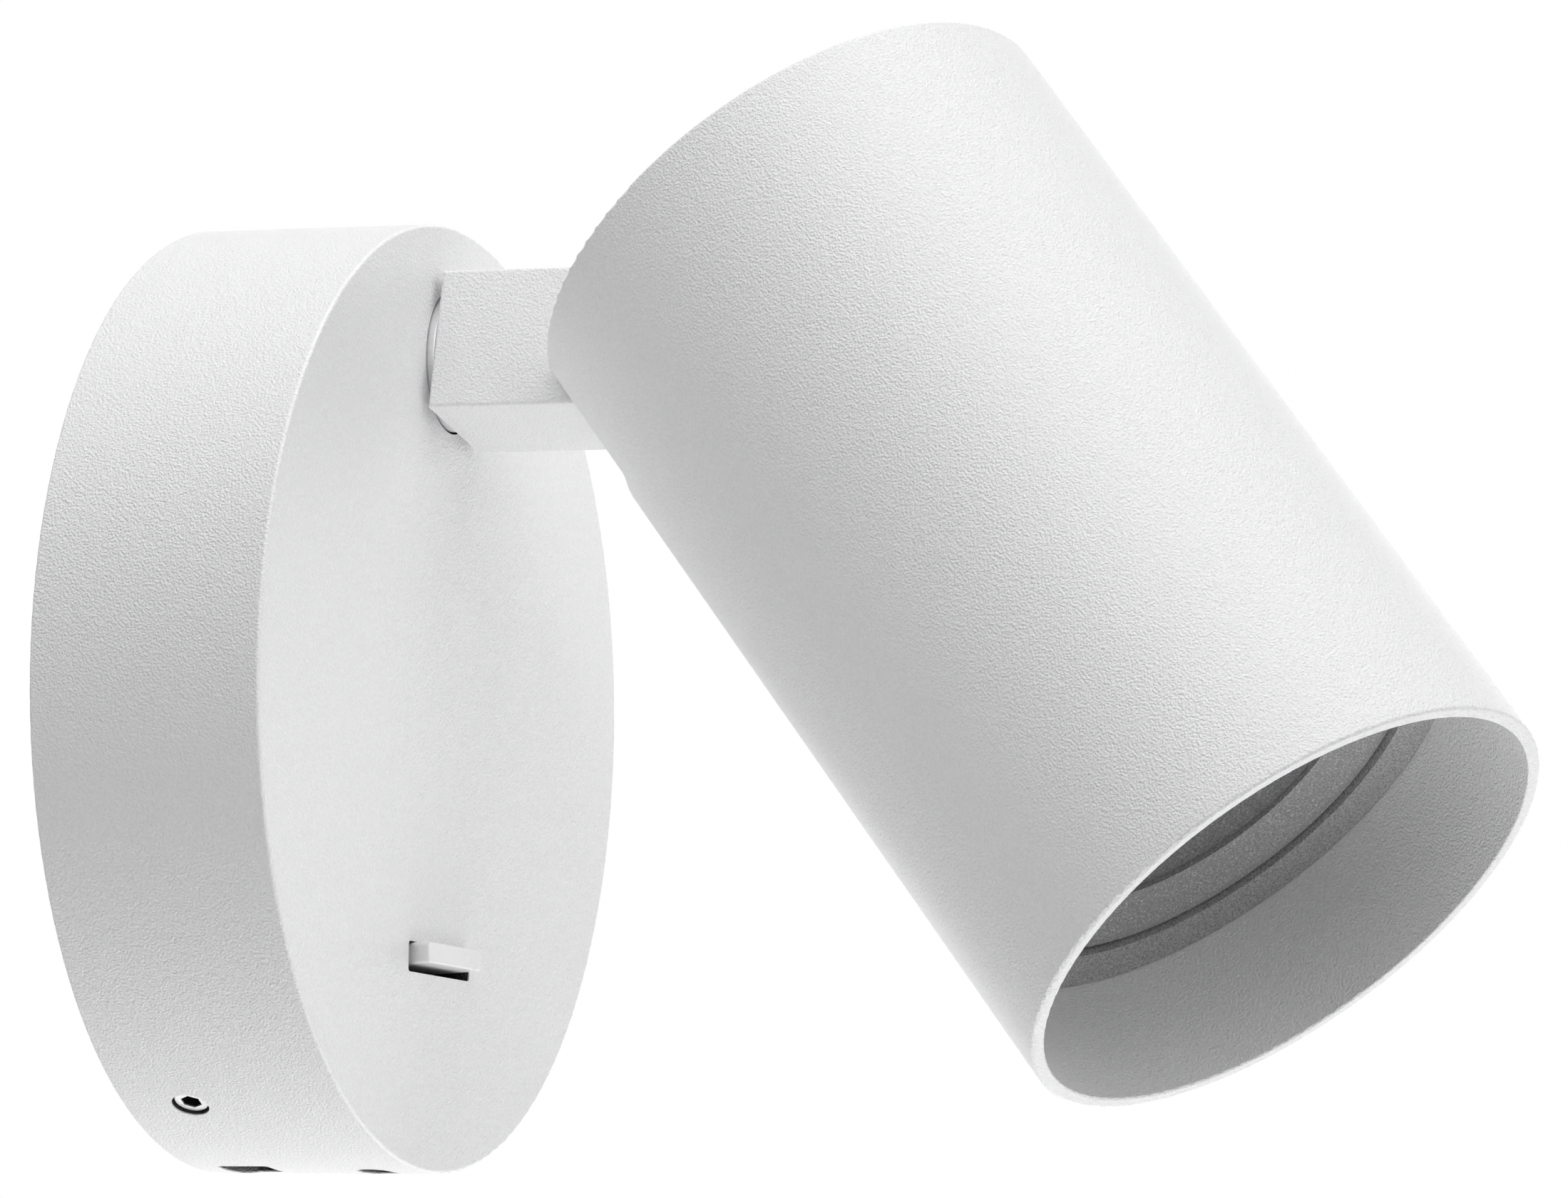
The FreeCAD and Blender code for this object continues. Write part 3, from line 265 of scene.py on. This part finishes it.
# the inside and the walls of the openings are painted black as painted shade, and a painted
# highlight whitens the coat along the front edge
skin_depth, given, result = new_group("depth_under_the_skin", {
    "Radius mm": 50.0, "Height mm": 25.3, "Shade depth mm": 0.14, "Edge mm": 0.26, "Rounding mm": 0.5,
}, ("Inside", "Edge"))
place = place_in_mm(skin_depth)
radius = vector_of(skin_depth, "LENGTH", joined(skin_depth, x=place["X"], z=place["Z"]))
from_side = math_of(skin_depth, "SUBTRACT", given["Radius mm"], radius)
from_face = math_of(skin_depth, "ADD", given["Height mm"], place["Y"])
nearest = math_of(skin_depth, "MINIMUM", from_side, from_face)
farthest = math_of(skin_depth, "MAXIMUM", from_side, from_face)
# surfaces deeper than this under the skin get the painted shade
deep_enough_for_shade = math_of(skin_depth, "GREATER_THAN", nearest, given["Shade depth mm"])
past_rounding = math_of(skin_depth, "GREATER_THAN", farthest, given["Rounding mm"])
skin_depth.links.new(math_of(skin_depth, "MULTIPLY", deep_enough_for_shade, past_rounding), result["Inside"])
skin_depth.links.new(math_of(skin_depth, "LESS_THAN", farthest, given["Edge mm"]), result["Edge"])

# painted shade for the inside and the openings' walls, and a painted highlight for the front edge
painted_shade_black = (0.02, 0.02, 0.02, 1.0)
painted_highlight_white = (0.99, 0.99, 0.99, 1.0)
cover_coat = powder_coat("cover_coat")
tree, colour_input, coated = open_finish(cover_coat)
skin = use_group(tree, skin_depth)
coated = mixed(tree, skin["Edge"], coated, painted_highlight_white)
tree.links.new(mixed(tree, skin["Inside"], coated, painted_shade_black), colour_input)
dress("base_cover", cover_coat)

# ------------------------------------------------------------------ grub screws of the cover
# Two M4 grub screws of bright plated steel with a hexagon socket, screwed through the side of the
# cover against the wall bracket.

# steel that was turned or rolled: fine scratches round an axis, and a thin uneven plating
lathe, given, result = new_group("lathe_lines", {
    "Axis x": 0.0, "Axis y": 1.0, "Axis z": 0.0, "Lines per mm": 9.0, "Dullness": 0.14,
}, ("Height", "Brightness", "Roughness"))
smears_per_metre = 900.0
least_brightness, smear_brightness = 0.87, 0.25
smear_dullness = 0.22
place = place_of(lathe)
axis = joined(lathe, given["Axis x"], given["Axis y"], given["Axis z"])
mm_along = math_of(lathe, "MULTIPLY", vector_of(lathe, "DOT_PRODUCT", place, axis), 1000.0)
lines = noise_of(lathe, joined(lathe, mm_along), given["Lines per mm"], detail=3.0, roughness=0.7)
smears = noise_of(lathe, place, smears_per_metre, detail=3.0)
brightness = math_of(lathe, "MULTIPLY_ADD", smears, smear_brightness, least_brightness)
roughness = math_of(lathe, "MULTIPLY_ADD", smears, smear_dullness, given["Dullness"])
lathe.links.new(lines, result["Height"])
lathe.links.new(brightness, result["Brightness"])
lathe.links.new(roughness, result["Roughness"])


def turned_metal(name, colour, axis, lines_per_mm=9.0, depth_mm=0.002, metallic=1.0, dullness=0.14):
    """Plated or plain metal with fine lines across an axis."""
    return new_finish(name, lathe, colour, depth_mm, metallic, Axis_x=axis[0], Axis_y=axis[1], Axis_z=axis[2],
                      Lines_per_mm=lines_per_mm, Dullness=dullness)


# painted shade in the hexagon socket and in the thread at the rim; both screws point at the base's axis
grub_lean = math.radians(28.0)            # from straight down
socket_shade, given, result = new_group("socket_painted_shade", {
    "Lean x": math.sin(grub_lean), "Lean z": -math.cos(grub_lean), "From wall mm": 7.5, "Face mm": 49.4,
    "Rim mm": 1.74,
}, ("Brightness",))
painted_shade_darkness = 0.97
place = place_in_mm(socket_shade)
down = joined(socket_shade, math_of(socket_shade, "ABSOLUTE", place["X"]),
              math_of(socket_shade, "ADD", place["Y"], given["From wall mm"]), place["Z"])
lean = joined(socket_shade, x=given["Lean x"], z=given["Lean z"])
outward = vector_of(socket_shade, "DOT_PRODUCT", down, lean)
radius = vector_of(socket_shade, "LENGTH", vector_of(socket_shade, "CROSS_PRODUCT", down, lean))
# painted shade: darker in the hexagon below the face and in the thread past the rim
in_painted_shade = math_of(socket_shade, "MAXIMUM", math_of(socket_shade, "LESS_THAN", outward, given["Face mm"]),
                math_of(socket_shade, "GREATER_THAN", radius, given["Rim mm"]))
socket_shade.links.new(math_of(socket_shade, "MULTIPLY_ADD", in_painted_shade, -painted_shade_darkness, 1.0), result["Brightness"])

sideways, out_of_wall, upright = (1.0, 0.0, 0.0), (0.0, 1.0, 0.0), (0.0, 0.0, 1.0)
fixing_steel = turned_metal("fixing_steel", (0.52, 0.52, 0.53), out_of_wall)
grub_steel = turned_metal("grub_screw_steel", (0.95, 0.95, 0.95), upright, metallic=0.35)
tree, colour_input, steel_before_shade = open_finish(grub_steel)
skin = use_group(tree, socket_shade)
tree.links.new(mixed(tree, 1.0, steel_before_shade, skin["Brightness"], "MULTIPLY"), colour_input)
dress("cover_grub_screws", grub_steel)

# ------------------------------------------------------------------ wall bracket
# A round plate of zinc-plated steel, 1.5 mm thick, screwed to the wall through two slots. Its folded
# tabs take the grub screws, and its hook holds the cover at the top.

# rolled and plated sheet: long scratches one way, under cloudy zinc
rolled, given, result = new_group("rolled_sheet", {"Scratch length": 14.0, "Cloud size mm": 7.0},
                                  ("Height", "Brightness", "Roughness"))
scratches_per_metre = 420.0
least_brightness, zinc_brightness = 0.76, 0.45
least_roughness, zinc_roughness = 0.22, 0.30
place = place_of(rolled)
stretched = vector_of(rolled, "MULTIPLY", place, joined(rolled, 1.0, 1.0, given["Scratch length"]))
scratches = noise_of(rolled, stretched, scratches_per_metre, detail=4.0, roughness=0.65)
spangle = noise_of(rolled, place, per_metre(rolled, given["Cloud size mm"]), detail=4.0, roughness=0.6)
brightness = math_of(rolled, "MULTIPLY_ADD", spangle, zinc_brightness, least_brightness)
roughness = math_of(rolled, "MULTIPLY_ADD", spangle, zinc_roughness, least_roughness)
rolled.links.new(scratches, result["Height"])
rolled.links.new(brightness, result["Brightness"])
rolled.links.new(roughness, result["Roughness"])

zinc_sheet = new_finish("zinc_sheet", rolled, (0.42, 0.435, 0.45), depth_mm=0.006, metallic=0.9)
dress("wall_bracket", zinc_sheet)

# ------------------------------------------------------------------ cable grommet
# A soft black bush of moulded rubber, pushed into the bracket. It keeps the supply cable off the
# sheet's edge.

# moulded plastic or rubber: a faint grain from the mould, and slow changes of gloss
moulded, given, result = new_group("moulded_skin", {
    "Grain size mm": 0.25, "Gloss change": 0.12, "Gloss": 0.5,
}, ("Height", "Brightness", "Roughness"))
flows_per_metre = 120.0
least_brightness, flow_brightness = 0.94, 0.12
place = place_of(moulded)
grain = noise_of(moulded, place, per_metre(moulded, given["Grain size mm"]), detail=2.0, roughness=0.6)
flow = noise_of(moulded, place, flows_per_metre, detail=3.0)
brightness = math_of(moulded, "MULTIPLY_ADD", flow, flow_brightness, least_brightness)
dullness = math_of(moulded, "SUBTRACT", 1.0, given["Gloss"])
roughness = math_of(moulded, "MULTIPLY_ADD", flow, given["Gloss change"], dullness)
moulded.links.new(grain, result["Height"])
moulded.links.new(brightness, result["Brightness"])
moulded.links.new(roughness, result["Roughness"])


def moulding(name, colour, gloss, grain_size=0.25, grain_depth=0.004):
    """Moulded plastic, rubber or ceramic, with its grain in millimetres."""
    return new_finish(name, moulded, colour, grain_depth, Grain_size_mm=grain_size, Gloss=gloss)


dress("cable_grommet", moulding("black_rubber", (0.035, 0.035, 0.036), gloss=0.25, grain_size=0.15,
                                grain_depth=0.006))

# ------------------------------------------------------------------ swivel plate
# A steel plate screwed behind the face of the cover with two pan-head screws. The stem of the arm
# turns in it, and a pin pressed in it stops the tabbed washer at both ends of the swivel.
dress("swivel_plate", zinc_sheet)
dress("swivel_plate_screws", fixing_steel)
dress("swivel_stop_peg", fixing_steel)

# ------------------------------------------------------------------ rocker switch
# A glossy white rocker on two pins in a matt black housing, which two screws hold behind the slot in
# the face.
black_plastic = moulding("black_plastic", (0.022, 0.022, 0.024), gloss=0.30)
black_plastic.node_tree.nodes["Principled BSDF"].inputs["Specular IOR Level"].default_value = 0.2
dress("switch_housing", black_plastic)
dress("switch_screws", fixing_steel)
dress("switch_rocker", moulding("switch_white", (0.86, 0.86, 0.86), gloss=0.78, grain_size=0.8,
                                grain_depth=0.002))

# ------------------------------------------------------------------ charging module
# A black moulded case with two sockets that face down through the cover: a wide flat one and a small
# oblong one, each a drawn steel shell round an insulating tongue with gilt contacts.
dress("usb_module", black_plastic)
dress("usb_module_screws", fixing_steel)
shell_steel = turned_metal("shell_steel", (0.70, 0.70, 0.71), sideways, lines_per_mm=14.0, depth_mm=0.001)
dress("usb_a_shell", shell_steel)
dress("usb_c_shell", shell_steel)
tongue_black = moulding("tongue_black", (0.045, 0.045, 0.048), gloss=0.55)
dress("usb_a_tongue", tongue_black)
dress("usb_c_tongue", tongue_black)


def new_pattern(name, inputs):
    """Geometry tree for pieces that repeat; inputs are names with their values."""
    kinds = {int: "NodeSocketInt", float: "NodeSocketFloat", tuple: "NodeSocketVector"}
    tree = bpy.data.node_groups.new(name, "GeometryNodeTree")
    tree.interface.new_socket(name="Geometry", in_out="INPUT", socket_type="NodeSocketGeometry")
    for label, value in inputs.items():
        made = tree.interface.new_socket(name=label, in_out="INPUT", socket_type=kinds[type(value)])
        made.default_value = value
    tree.interface.new_socket(name="Finish", in_out="INPUT", socket_type="NodeSocketMaterial")
    tree.interface.new_socket(name="Geometry", in_out="OUTPUT", socket_type="NodeSocketGeometry")
    return tree, tree.nodes.new("NodeGroupInput").outputs, tree.nodes.new("NodeGroupOutput").inputs


def end_pattern(tree, copies, given, result):
    """Real faces with their finish, because the export keeps no copies."""
    real = put(tree, "GeometryNodeRealizeInstances", {"Geometry": copies}).outputs[0]
    finished = put(tree, "GeometryNodeSetMaterial", {"Geometry": real, "Material": given["Finish"]})
    tree.links.new(finished.outputs[0], result["Geometry"])


def make_piece(name, tree, body, slot, turn=Matrix(), **values):
    """Mesh piece from a geometry tree, placed by a matrix, that rides on a body."""
    draft = bpy.data.objects.new(name + "_draft", bpy.data.meshes.new(name + "_draft"))
    scene.collection.objects.link(draft)
    modifier = draft.modifiers.new("pattern", "NODES")
    modifier.node_group = tree
    sockets = {item.name: item.identifier for item in tree.interface.items_tree if item.in_out == "INPUT"}
    for label, value in values.items():
        modifier[sockets[label.replace("_", " ")]] = value
    mesh = bpy.data.meshes.new_from_object(draft.evaluated_get(bpy.context.evaluated_depsgraph_get()))
    mesh.transform(turn)
    bpy.data.objects.remove(draft)
    piece = bpy.data.objects.new(name, mesh)
    scene.collection.objects.link(piece)
    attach(piece, body)


# flat contacts side by side, in one row or in two that lie back to back on a tongue
contacts, given, result = new_pattern("contact_rows", {
    "Contacts": 4, "Pitch": 2.3 * mm, "Rows": 1, "Row gap": 1.0 * mm,
    "Contact size": (1.0 * mm, 0.1 * mm, 7.0 * mm), "Middle": (0.0, 0.0, 0.0)})
strip = put(contacts, "GeometryNodeMeshCube", {"Size": given["Contact size"]}).outputs["Mesh"]
step = joined(contacts, x=given["Pitch"])
row = put(contacts, "GeometryNodeMeshLine", {"Count": given["Contacts"], "Offset": step}).outputs[0]
row = put(contacts, "GeometryNodeInstanceOnPoints", {"Points": row, "Instance": strip}).outputs[0]
step = joined(contacts, y=given["Row gap"])
rows = put(contacts, "GeometryNodeMeshLine", {"Count": given["Rows"], "Offset": step}).outputs[0]
rows = put(contacts, "GeometryNodeInstanceOnPoints", {"Points": rows, "Instance": row}).outputs[0]
rows = put(contacts, "GeometryNodeTransform", {"Geometry": rows, "Translation": given["Middle"]}).outputs[0]
end_pattern(contacts, rows, given, result)
gilt = turned_metal("gilt", (0.84, 0.66, 0.33), upright, lines_per_mm=16.0, depth_mm=0.0005)
make_piece("usb_a_contacts", contacts, "root", "brass", Contacts=4, Pitch=2.33 * mm, Rows=1,
           Contact_size=(1.0 * mm, 0.12 * mm, 7.4 * mm), Middle=(-3.5 * mm, -5.74 * mm, -42.2 * mm),
           Finish=gilt)
make_piece("usb_c_contacts", contacts, "root", "brass", Contacts=12, Pitch=0.5 * mm, Rows=2,
           Row_gap=-0.72 * mm, Contact_size=(0.26 * mm, 0.04 * mm, 3.6 * mm),
           Middle=(-2.75 * mm, -19.24 * mm, -44.9 * mm), Finish=gilt)

# ------------------------------------------------------------------ power supply and terminals
# On the bracket, inside the cover: a closed dark grey supply, a cream terminal block with three brass
# screws, and a brass earth screw.
dress("power_supply", moulding("supply_grey", (0.15, 0.16, 0.17), gloss=0.40))
dress("power_supply_screws", fixing_steel)
dress("terminal_block", moulding("terminal_cream", (0.80, 0.79, 0.74), gloss=0.50))
brass = turned_metal("brass", (0.78, 0.60, 0.30), out_of_wall)
dress("terminal_screws", brass)
dress("earth_screw", brass)

# ------------------------------------------------------------------ arm
# A square aluminium bar, coated like the cover, that carries the head. Its far end is a round forked
# knuckle inside the head.
coat = powder_coat("powder_coat")
dress("arm_block", coat)

# ------------------------------------------------------------------ swivel stem
# A turned aluminium stem, left satin: its disc fills the hole in the cover's face, and its hollow
# spigot carries the nylon and steel washers and the nut behind the face.
stem_satin = turned_metal("stem_satin", (0.72, 0.72, 0.73), upright, lines_per_mm=3.0, depth_mm=0.04,
                          metallic=0.45, dullness=0.34)
dress("swivel_stem", stem_satin)

# its thread shows behind the nut: a three-sided tooth that winds round the spigot
screw_thread, given, result = new_pattern("screw_thread", {
    "Radius": 5.0 * mm, "Length": 2.5 * mm, "Pitch": 0.8 * mm, "Depth": 0.3 * mm})
turns = math_of(screw_thread, "DIVIDE", given["Length"], given["Pitch"])
ridge = put(screw_thread, "GeometryNodeCurveSpiral", {
    "Resolution": 48, "Rotations": turns, "Start Radius": given["Radius"], "End Radius": given["Radius"],
    "Height": given["Length"]})
tooth = put(screw_thread, "GeometryNodeCurvePrimitiveCircle", {"Resolution": 3, "Radius": given["Depth"]},
            mode="RADIUS")
ridge = put(screw_thread, "GeometryNodeCurveToMesh", {
    "Curve": ridge.outputs[0], "Profile Curve": tooth.outputs[0], "Fill Caps": True})
end_pattern(screw_thread, ridge.outputs[0], given, result)
joints = {joint["name"]: joint for joint in frame["joints"]}
swivel_place = Vector(joints["arm_swivel"]["pos_m"])
thread_from_wall = 10.5 * mm
# turns a piece that is drawn round the z axis, so that it points out of the wall
towards_room = Matrix.Rotation(math.radians(90), 4, "X")
thread_place = Matrix.Translation((swivel_place.x, -thread_from_wall, swivel_place.z)) @ towards_room
make_piece("swivel_stem_thread", screw_thread, "arm", "satin_stem", thread_place, Radius=4.95 * mm,
           Length=2.4 * mm, Pitch=0.8 * mm, Depth=0.28 * mm, Finish=stem_satin)
nylon = moulding("nylon", (0.84, 0.83, 0.79), gloss=0.40, grain_size=0.2, grain_depth=0.003)
dress("swivel_friction_washer", nylon)
dress("swivel_stop_washer", zinc_sheet)
dress("swivel_nut", fixing_steel)

# ------------------------------------------------------------------ lamp tube
# A drawn aluminium tube, 60 mm across, coated white outside and in, slotted at the rear for the arm.
# Its cap closes the rear and carries on the slot.
tube_tilt = math.radians(51.43)           # from straight out of the wall
arm_turn = math.radians(12.2)
tube_offset = 12.57 * mm                  # the tube's axis from the pivot
pivot = joints["head_tilt"]
tilted = Matrix.Rotation(tube_tilt, 4, Vector(pivot["axis"]))
to_axis = tilted @ Vector((math.sin(arm_turn), 0.0, math.cos(arm_turn))) * tube_offset
# takes a piece that is drawn round the z axis, with the pivot's height as its zero, to the tube
tube_place = Matrix.Translation(Vector(pivot["pos_m"]) + to_axis) @ tilted @ towards_room
dress("lamp_tube", coat)
dress("rear_cap", coat)

# ------------------------------------------------------------------ hinge
# A folded zinc-plated bracket screwed to the cap's posts. Its two ears hold the arm's knuckle between
# nylon washers, on a button-head bolt with a nut that sets the friction.
dress("hinge_bracket", zinc_sheet)
dress("hinge_bracket_screws", fixing_steel)
dress("pivot_friction_washers", nylon)
dress("pivot_bolt", fixing_steel)
dress("pivot_nut", fixing_steel)

# ------------------------------------------------------------------ lamp and holder
# A ceramic holder takes the two pins of a reflector lamp, 50 mm across, with a satin grey shell and a
# frosted lens sunk behind its rim.
dress("lamp_holder", moulding("ceramic", (0.84, 0.82, 0.78), gloss=0.25, grain_size=0.3, grain_depth=0.01))
dress("lamp_holder_screws", fixing_steel)
dress("lamp_pins", brass)

# a rough pressed or moulded skin: fine bright and dark grains, and in patches a few grains painted brighter
# as painted glints
grainy, given, result = new_group("grainy_skin", {
    "Grain size mm": 0.16, "Contrast": 0.6, "Glitter": 0.8, "Gloss": 0.6,
}, ("Height", "Brightness", "Roughness"))
patches_per_metre = 260.0
painted_glint_above = 0.62
most_dullness, grain_dullness = 0.85, 0.3
place = place_of(grainy)
grains = noise_of(grainy, place, per_metre(grainy, given["Grain size mm"]), detail=2.0, roughness=0.7)
patches = noise_of(grainy, place, patches_per_metre, detail=2.0)
# painted glints: the brightest grains, in patches, are painted brighter in the colour
painted_glints = math_of(grainy, "MULTIPLY", math_of(grainy, "GREATER_THAN", grains, painted_glint_above), patches)
speckled = toned(grainy, grains, given["Contrast"])
brightness = math_of(grainy, "MULTIPLY_ADD", painted_glints, given["Glitter"], speckled)
dullness = math_of(grainy, "SUBTRACT", most_dullness, given["Gloss"])
roughness = math_of(grainy, "MULTIPLY_ADD", grains, grain_dullness, dullness)
grainy.links.new(grains, result["Height"])
grainy.links.new(brightness, result["Brightness"])
grainy.links.new(roughness, result["Roughness"])


def grainy_skin(name, grey, grain_size, contrast, painted_glint, gloss, grain_depth=0.05):
    """Rough grey skin, with its grain in millimetres."""
    return new_finish(name, grainy, grey, grain_depth, Grain_size_mm=grain_size, Contrast=contrast,
                      Glitter=painted_glint, Gloss=gloss)


lamp_shell = grainy_skin("lamp_shell", (0.30, 0.30, 0.30), grain_size=0.22, contrast=1.8, painted_glint=1.1,
                         gloss=0.45)
lamp_lens = grainy_skin("lamp_lens", (0.155, 0.155, 0.157), grain_size=0.30, contrast=3.4, painted_glint=1.2,
                        gloss=0.55)
dress("lamp_body", lamp_shell)
dress("lamp_lens", lamp_lens)

# cooling ribs stand round the flared shell behind the front
lamp_ribs, given, result = new_pattern("ribs_round_a_cone", {
    "Ribs": 28, "Rib width": 0.9 * mm, "Rib height": 1.6 * mm, "Narrow end": (14.0 * mm, 0.0, 40.0 * mm),
    "Wide end": (22.0 * mm, 0.0, 60.0 * mm)})
rib = put(lamp_ribs, "GeometryNodeCurvePrimitiveLine", {
    "Start": given["Narrow end"], "End": given["Wide end"]})
section = put(lamp_ribs, "GeometryNodeCurvePrimitiveQuadrilateral", {
    "Width": given["Rib width"], "Height": given["Rib height"]})
rib = put(lamp_ribs, "GeometryNodeCurveToMesh", {
    "Curve": rib.outputs[0], "Profile Curve": section.outputs[0], "Fill Caps": True})
points = put(lamp_ribs, "GeometryNodePoints", {"Count": given["Ribs"]})
number = put(lamp_ribs, "GeometryNodeInputIndex").outputs[0]
step = math_of(lamp_ribs, "DIVIDE", 2 * math.pi, given["Ribs"])
about = joined(lamp_ribs, z=math_of(lamp_ribs, "MULTIPLY", number, step))
about = put(lamp_ribs, "FunctionNodeEulerToRotation", {"Euler": about}).outputs[0]
ribs = put(lamp_ribs, "GeometryNodeInstanceOnPoints", {
    "Points": points.outputs[0], "Instance": rib.outputs[0], "Rotation": about})
end_pattern(lamp_ribs, ribs.outputs[0], given, result)
make_piece("lamp_ribs", lamp_ribs, "head", "lamp_shell", tube_place, Ribs=28, Rib_width=0.9 * mm,
           Rib_height=1.6 * mm, Narrow_end=(14.6 * mm, 0.0, 37.0 * mm), Wide_end=(22.6 * mm, 0.0, 58.0 * mm),
           Finish=lamp_shell)

# ------------------------------------------------------------------ trim ring
# A ring moulded in dark grey plastic. It slides into the tube's mouth and hides the gap between the
# tube and the lamp.
ring_grey = grainy_skin("ring_grey", (0.365, 0.365, 0.365), grain_size=0.22, contrast=2.4, painted_glint=0.0,
                        gloss=0.40)
dress("trim_ring", ring_grey)
